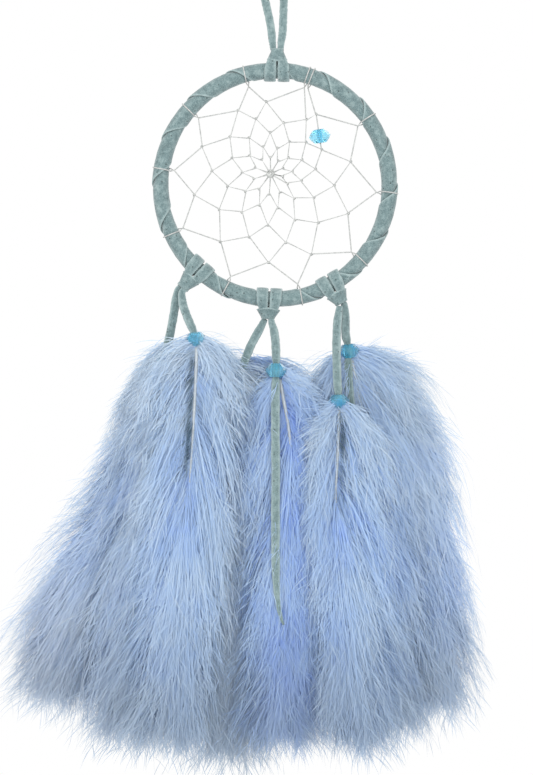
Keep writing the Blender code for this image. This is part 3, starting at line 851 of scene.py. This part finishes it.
def make_hitches(places, thread):
    """A tight loop of the thread round itself at each hitch."""
    turns, steps, length, radius = 1.1, 12, 0.55, 0.42
    rng = np.random.default_rng(8)
    loops = []
    for place, held, ahead in zip(places[HITCHES:], places, places[1:]):
        along = Vector((ahead.x - held.x, 0, ahead.y - held.y)).normalized()
        side = along.cross(BACK)
        points = []
        for i in range(steps + 1):
            turn = 2 * math.pi * turns * i / steps
            around = math.cos(turn) * side + math.sin(turn) * BACK
            points.append(
                local(place.x, 0, place.y)
                + along * ((i / steps - 0.5) * length * MM)
                + around * (radius + 0.05 * rng.standard_normal()) * MM
            )
        loops.append(thread_mesh("hitch", points, THREAD_RADIUS * 0.9))
    add_piece("web_hitches", joined("web_hitches", loops), thread, "hoop")


def make_middle(thread):
    """The knot in the web's middle: a few turns drawn tight."""
    rng = np.random.default_rng(21)
    middle = local(WEB_CENTRE.x, 0, WEB_CENTRE.y)
    points = []
    for i in range(90):
        turn = i * 0.52
        tilt = 0.7 * math.sin(i * 0.11)
        reach = (1.15 + 0.25 * math.sin(i * 0.37)) * MM
        flat = Vector((math.cos(turn), 0.55 * math.sin(turn + tilt), math.sin(turn) * 0.75))
        points.append(middle + flat * reach + Vector(rng.standard_normal(3)) * 0.05 * MM)
    mesh = thread_mesh("web_middle", points, THREAD_RADIUS * 1.15)
    knot = add_piece("web_middle", mesh, thread, "hoop")
    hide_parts("web_centre_knot")


def make_web_bead(places, acrylic):
    """The bead on the web, on the thread between a hitch of the first round and the one below it."""
    low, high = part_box("web_bead")
    upper, lower = places[HITCHES], places[2 * HITCHES]
    axis = Vector((upper.x - lower.x, 0, upper.y - lower.y)).normalized()
    bead = make_bead("pony_web", (low + high) / 2, axis, THREAD_HOLE, acrylic, "web_bead")
    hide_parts("web_bead")


# ---------------------------------------------------------------- feathers


class Spine:
    """The line of a feather's quill, read by the share of its length."""

    def __init__(self, line):
        points = smooth_route([local(*place) for place in line], 12)
        self.points = np.array([tuple(p) for p in points])
        steps = np.linalg.norm(np.diff(self.points, axis=0), axis=1)
        self.at = np.concatenate([[0.0], np.cumsum(steps)])
        self.length = self.at[-1]
        self.at /= self.length
        slope = np.gradient(self.points, self.at, axis=0)
        self.ahead = slope / np.linalg.norm(slope, axis=1)[:, None]

    def read(self, shares):
        """(place, direction) at these shares, going straight on past either end."""
        inside = np.clip(shares, 0.0, 1.0)
        place = np.stack([np.interp(inside, self.at, self.points[:, i]) for i in range(3)], axis=-1)
        ahead = np.stack([np.interp(inside, self.at, self.ahead[:, i]) for i in range(3)], axis=-1)
        return place + ahead * ((shares - inside) * self.length)[..., None], ahead


def plume_width(share, rise):
    """How wide a plume is at this share of its quill's line, as a share of its full reach."""
    return 1 - np.exp(-np.clip(share, 0, 2) / rise)


def side_frame(ahead):
    """The directions to the plume's right and to its back, square to the quill."""
    right = np.stack([-ahead[..., 2], np.zeros(ahead.shape[:-1]), ahead[..., 0]], axis=-1)
    right /= np.linalg.norm(right, axis=-1)[..., None]
    return right, np.cross(right, ahead)


def fade_in(values, start, span):
    """0 up to the start, and from there rising to 1 over the span."""
    return np.clip((values - start) / span, 0, 1)


def keep_furrow(around, start, bare):
    """Turns the directions of the tufts near the front away from the quill, as far down as it shows."""
    front = np.mod(around + 1.5 * math.pi, 2 * math.pi) - math.pi
    half = np.where(start < bare, 0.75, 0.0)
    moved = np.where(np.abs(front) < half, np.sign(front) * (half + 0.4 * np.abs(front)), front)
    return moved - math.pi / 2


def barb_lines(spine, feather, rng, tufts, strands):
    """Lines of down, in tufts that close to a point: each leaves the quill at a slant and bends along it.

    It gives back the lines, the direction out of the plume at each of their points, and each of the SHADES.
    """

    def each(low, high):
        return rng.uniform(low, high, (tufts, strands, 1))

    def scatter(spread):
        return rng.normal(0, spread, (tufts, strands, 1))

    def full(values):
        return values[:, None, None]

    # The tufts: the share of the quill where each starts, its direction round the quill, how full it is, and
    # the share of the quill where it stops. One in eight is at the crown.
    start = rng.uniform(-0.005, 0.9, tufts)
    topmost = tufts // 8
    start[:topmost] = rng.uniform(-0.0003 * feather.crown, 0.03, topmost)
    around = keep_furrow(rng.uniform(0, 2 * math.pi, tufts), start, feather.bare)
    fullness = rng.uniform(0.12, 1.0, tufts) ** 0.55
    stop = rng.uniform(0.88, 1.04, tufts)

    # The slant of each strand from its root to its tip: steep at the crown, and settled below it
    settled, crown_span = 40, 0.08
    u = np.linspace(0.0, 1.0, BARB_STEPS)[None, None, :] * each(0.72, 1.0)
    t0 = full(start) + scatter(0.009)
    flare = settled + (feather.crown - settled) * np.exp(-np.clip(start, 0, 1) / crown_span)
    root = np.radians(full(flare + rng.normal(0, 9, tufts)) + each(-13, 13))
    tip = np.radians(full(rng.uniform(-4, 20, tufts)) + each(-13, 13))
    angle = tip + (root - tip) * (1 - u)
    du = np.diff(u, axis=2)

    def run(values):
        """The integral of the values along the strand, from its root."""
        middle = (values[..., 1:] + values[..., :-1]) / 2 * du
        return np.concatenate([np.zeros_like(values[..., :1]), np.cumsum(middle, axis=2)], axis=2)

    # Its length: out to the plume's reach on its side, and not past the end of its tuft
    outward, along = run(np.sin(angle)), run(np.cos(angle))
    turn = full(around) + scatter(0.16)
    reach = np.where(np.cos(turn) < 0, feather.left, feather.right) * MM
    reach = reach * plume_width(t0 + 0.22, feather.rise) * full(fullness) * each(0.92, 1.06)
    most = np.clip(full(stop) - t0, 0.03, 1) * spine.length / np.maximum(along[..., -1:], 0.2)
    length = np.minimum(reach / np.maximum(outward[..., -1:], 0.1), LONGEST_BARB)
    length = np.minimum(length, most * each(0.94, 1.02))

    # Its line, with a belly and a slight wave
    share = t0 + along * length / spine.length
    place, ahead = spine.read(share)
    to_right, to_back = side_frame(ahead)
    out = outward * length
    flat = feather.depth / ((feather.left + feather.right) / 2)
    belly = np.sin(math.pi * np.clip(u, 0, 1)) * scatter(1.3) * MM
    wave = np.sin(u * each(4, 11) + each(0, 6)) * u * each(0.1, 0.7) * MM
    sideways = out * np.cos(turn) + belly * np.sin(turn) + wave
    backwards = out * np.sin(turn) * flat - belly * np.cos(turn) * 0.8 + wave * np.cos(3 * turn) * 0.6
    lines = place + to_right * sideways[..., None] + to_back * backwards[..., None]
    outside = to_right * (0.5 * np.cos(turn) * np.ones_like(share))[..., None]
    outside = outside + to_back * (np.sin(turn) * np.ones_like(share))[..., None] + ahead * 0.25

    # Its shades: paler towards the tip and at the crown, with a little of its tuft's own and of its own,
    # shifted by its plume's deeper value, which is partly painted shade
    of_strand = full(rng.normal(-feather.deeper, 0.1, tufts)) + scatter(0.04)
    at_crown = full(np.exp(-np.clip(start, 0, 1) / 0.12))
    tone_and_painted_shading = 0.24 + 0.42 * full(fullness) * np.sqrt(u) + 0.2 * at_crown + of_strand
    # Painted light: strands paler towards the plume's outer sides and greyer below the centre, standing for
    # the white surround seen through thin down
    side = fade_in(np.abs(lines[..., 0] - CENTRE.x) / MM, PALE_FROM, PALE_OVER) * u
    low = fade_in((CENTRE.z - lines[..., 2]) / MM, GREY_FROM, GREY_OVER)
    # A painted shadow: the roots of the strands in the furrow beside a bare quill, on the furrow's side,
    # drawn dark
    in_front = (np.sin(turn) < 0.2) * (sideways * feather.furrow > 0)
    shows = fade_in(feather.bare - share, 0, 0.05) * in_front * fade_in(full(start), 0, 0.02)
    furrow_shadow = fade_in(FURROW_SHADOW_REACH - np.abs(sideways) / MM, 0, 1.0) * shows
    parts = (lines, outside, tone_and_painted_shading, side, low, furrow_shadow)
    return [part.reshape(-1, BARB_STEPS, *part.shape[3:]) for part in parts]


def barbule_lines(lines, outside, shades, rng, count):
    """Short fine hairs that leave the barbs at a slant and bend back along them: (lines, outside, shades)."""
    barbs, points, _ = lines.shape
    which = rng.integers(0, barbs, count)
    at = rng.integers(1, points - 1, count)
    share = rng.uniform(0, 1, (count, 1))
    root = lines[which, at] * (1 - share) + lines[which, at + 1] * share
    ahead = lines[which, at + 1] - lines[which, at]
    ahead /= np.linalg.norm(ahead, axis=1)[:, None] + 1e-12
    facing = outside[which, at]
    side = np.cross(ahead, facing)
    side /= np.linalg.norm(side, axis=1)[:, None] + 1e-12
    side *= rng.choice([-1.0, 1.0], (count, 1))
    u = np.linspace(0, 1, BARBULE_STEPS)[None, :, None]
    length = rng.uniform(4, 11, (count, 1, 1)) * MM
    slant = rng.uniform(0.3, 1.0, (count, 1, 1))
    lift = rng.uniform(-0.05, 0.2, (count, 1, 1))
    bend = u - 0.35 * u**2
    hairs = root[:, None] + length * (
        ahead[:, None] * u + side[:, None] * slant * bend + facing[:, None] * lift * bend
    )
    tone_and_painted_shading, *others = (values[which, at] for values in shades)
    hair_shades = [np.repeat(values[:, None], BARBULE_STEPS, axis=1) for values in (tone_and_painted_shading + 0.08, *others)]
    return hairs, np.repeat(facing[:, None], BARBULE_STEPS, axis=1), hair_shades


def ribbons(lines, outside, width, rng):
    """(points, normals) of each line as a thin ribbon that tapers to a point.

    Its normals lean out of the plume, so that it is lit as part of it.
    """
    count, steps, _ = lines.shape
    ahead = np.gradient(lines, axis=1)
    ahead /= np.linalg.norm(ahead, axis=2)[..., None] + 1e-12
    roll = rng.uniform(-0.9, 0.9, (count, 1, 1))
    across = np.cross(ahead, outside)
    across /= np.linalg.norm(across, axis=2)[..., None] + 1e-12
    across = across * np.cos(roll) + np.cross(across, ahead) * np.sin(roll)
    u = np.linspace(0, 1, steps)[None, :, None]
    taper = (0.45 + 0.55 * np.minimum(1, u * 3.5)) * (1 - u**2.4) + 0.05
    half = across * taper * width * rng.uniform(0.6, 1.35, (count, 1, 1)) / 2
    points = np.stack([lines - half, lines + half], axis=2).reshape(-1, 3)
    normals = np.cross(across, ahead) + outside * 2.5
    normals /= np.linalg.norm(normals, axis=2)[..., None] + 1e-12
    return points, np.repeat(normals.reshape(-1, 3), 2, axis=0)


def down_mesh(name, layers, rng):
    """One mesh from layers of lines, each layer (lines, directions outward, shades, width)."""
    points, normals, quads, shades = [], [], [], []
    first = 0
    for lines, outside, values, width in layers:
        count, steps, _ = lines.shape
        layer_points, layer_normals = ribbons(lines, outside, width, rng)
        base = first + (np.arange(count) * steps * 2)[:, None] + (np.arange(steps - 1) * 2)[None, :]
        points.append(layer_points)
        normals.append(layer_normals)
        quads.append(np.stack([base, base + 1, base + 3, base + 2], axis=-1).reshape(-1, 4))
        shades.append(np.stack([np.repeat(value.reshape(-1), 2) for value in values]))
        first += len(layer_points)
    points, normals, quads = (np.concatenate(parts) for parts in (points, normals, quads))
    mesh = bpy.data.meshes.new(name)
    mesh.vertices.add(len(points))
    mesh.vertices.foreach_set("co", points.astype(np.float32).ravel())
    mesh.loops.add(quads.size)
    mesh.loops.foreach_set("vertex_index", quads.astype(np.int32).ravel())
    mesh.polygons.add(len(quads))
    mesh.polygons.foreach_set("loop_start", np.arange(0, quads.size, 4, dtype=np.int32))
    mesh.update(calc_edges=True)
    for title, values in zip(SHADES, np.concatenate(shades, axis=1)):
        layer = mesh.attributes.new(title, "FLOAT", "POINT")
        layer.data.foreach_set("value", values.astype(np.float32))
    mesh.shade_smooth()
    mesh.normals_split_custom_set_from_vertices(normals.tolist())
    return mesh


def make_quill(name, spine, start, horn, body):
    """The bare quill end, pale, and the shaft that runs down inside the plume to a point."""
    end, thickest, vanishes = 0.62, 0.92, 0.66
    shares = np.linspace(start, end, 40)
    place, _ = spine.read(shares)
    radii = [max(0.12, thickest * (1 - float(s) / vanishes)) * MM for s in shares]
    mesh = skin(name, tube([Vector(p) for p in place], radii, sides=8))
    add_piece(name, mesh, horn, body)


def make_feather(name, feather, down, horn, seed):
    """A feather's down, and its quill: from its bead where it shows in front, else from inside the plume."""
    spine = Spine(feather.line)
    rng = np.random.default_rng(seed)
    tufts, strands, barbules = FULL_DOWN
    lines, outside, *shades = barb_lines(spine, feather, rng, tufts, strands)
    hairs = barbule_lines(lines, outside, shades, rng, barbules)
    title = name.replace("feather", "down")
    mesh = down_mesh(title, [(lines, outside, shades, BARB_WIDTH), (*hairs, BARBULE_WIDTH)], rng)
    fluff = add_piece(title, mesh, down, feather.body, smooth=False)
    start = 0.0 if feather.bare else 0.12
    make_quill(name.replace("feather", "quill"), spine, start, horn, feather.body)
    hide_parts(name)


def main():
    make_camera()
    suede = suede_material()
    acrylic = bead_material()
    make_loop(suede)
    for name, (bead_at, route) in TAILS.items():
        make_tail(name, bead_at, route, suede, acrylic)
    make_studio()
    make_wrap(suede)
    finish_ring()
    for name, knot in KNOTS.items():
        make_knot(name, *knot, suede, "hanger" if name == "hanger_knot" else "hoop")
    thread = thread_material()
    places = make_web(thread)
    make_web_bead(places, acrylic)
    down = down_material()
    horn = quill_material()
    for seed, (name, feather) in enumerate(FEATHERS.items(), 101):
        make_feather(name, feather, down, horn, seed)


main()
